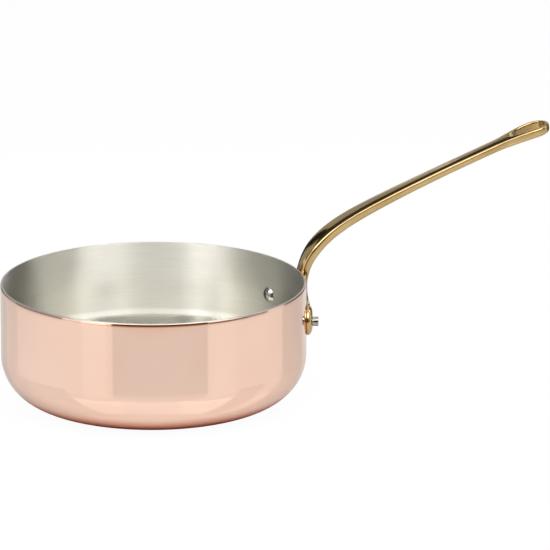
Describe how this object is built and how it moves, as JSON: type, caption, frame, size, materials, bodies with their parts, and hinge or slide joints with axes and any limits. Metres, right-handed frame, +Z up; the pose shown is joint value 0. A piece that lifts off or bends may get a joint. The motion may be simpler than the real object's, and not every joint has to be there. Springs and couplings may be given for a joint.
{
  "type": "risotto pan",
  "caption": "Straight-sided round copper pan with a steel lining and a long cast brass handle that rises from a riveted flange to a teardrop hanging eye.",
  "frame": {"origin": "centre of the flat underside of the pan", "axes": "+Z up along the pan's axis, +X along the handle, away from the pan"},
  "size_m": [0.4532, 0.24, 0.1952],
  "materials": {
    "copper": "polished",
    "lining_steel": "brushed round the wall and the floor",
    "cast_brass": "cast and polished",
    "rivet_steel": "polished"
  },
  "bodies": {
    "root": {"copper_shell": "copper", "steel_lining": "lining_steel", "brass_handle": "cast_brass", "rivet_left": "rivet_steel", "rivet_right": "rivet_steel", "rivet_bottom": "rivet_steel"}
  },
  "joints": []
}
